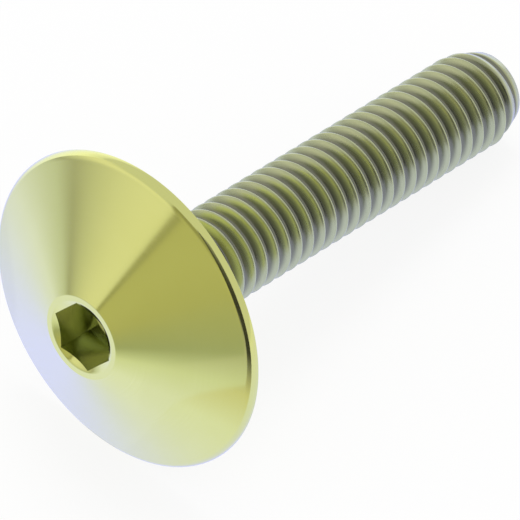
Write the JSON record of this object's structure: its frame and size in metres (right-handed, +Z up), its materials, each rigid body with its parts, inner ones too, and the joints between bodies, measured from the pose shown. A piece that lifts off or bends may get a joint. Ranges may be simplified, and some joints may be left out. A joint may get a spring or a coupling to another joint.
{
  "type": "dome head bolt",
  "caption": "Wide cone head bolt with a hexagon socket, a rounded rim, a plain neck and a metric threaded shank, in anodised titanium.",
  "frame": {"origin": "on the floor, under the middle of the bolt's bounding box as it lies on its side", "axes": "+X from the head towards the thread's end, +Z up; the bolt's own axis runs 12.75 degrees below +X, because it rests on the rim of its head and the end of its thread"},
  "size_m": [0.0286, 0.0158, 0.0154],
  "materials": {
    "anodised_titanium": "turned, polished and anodised gold-green titanium"
  },
  "bodies": {
    "root": {"bolt": "anodised_titanium"}
  },
  "joints": []
}
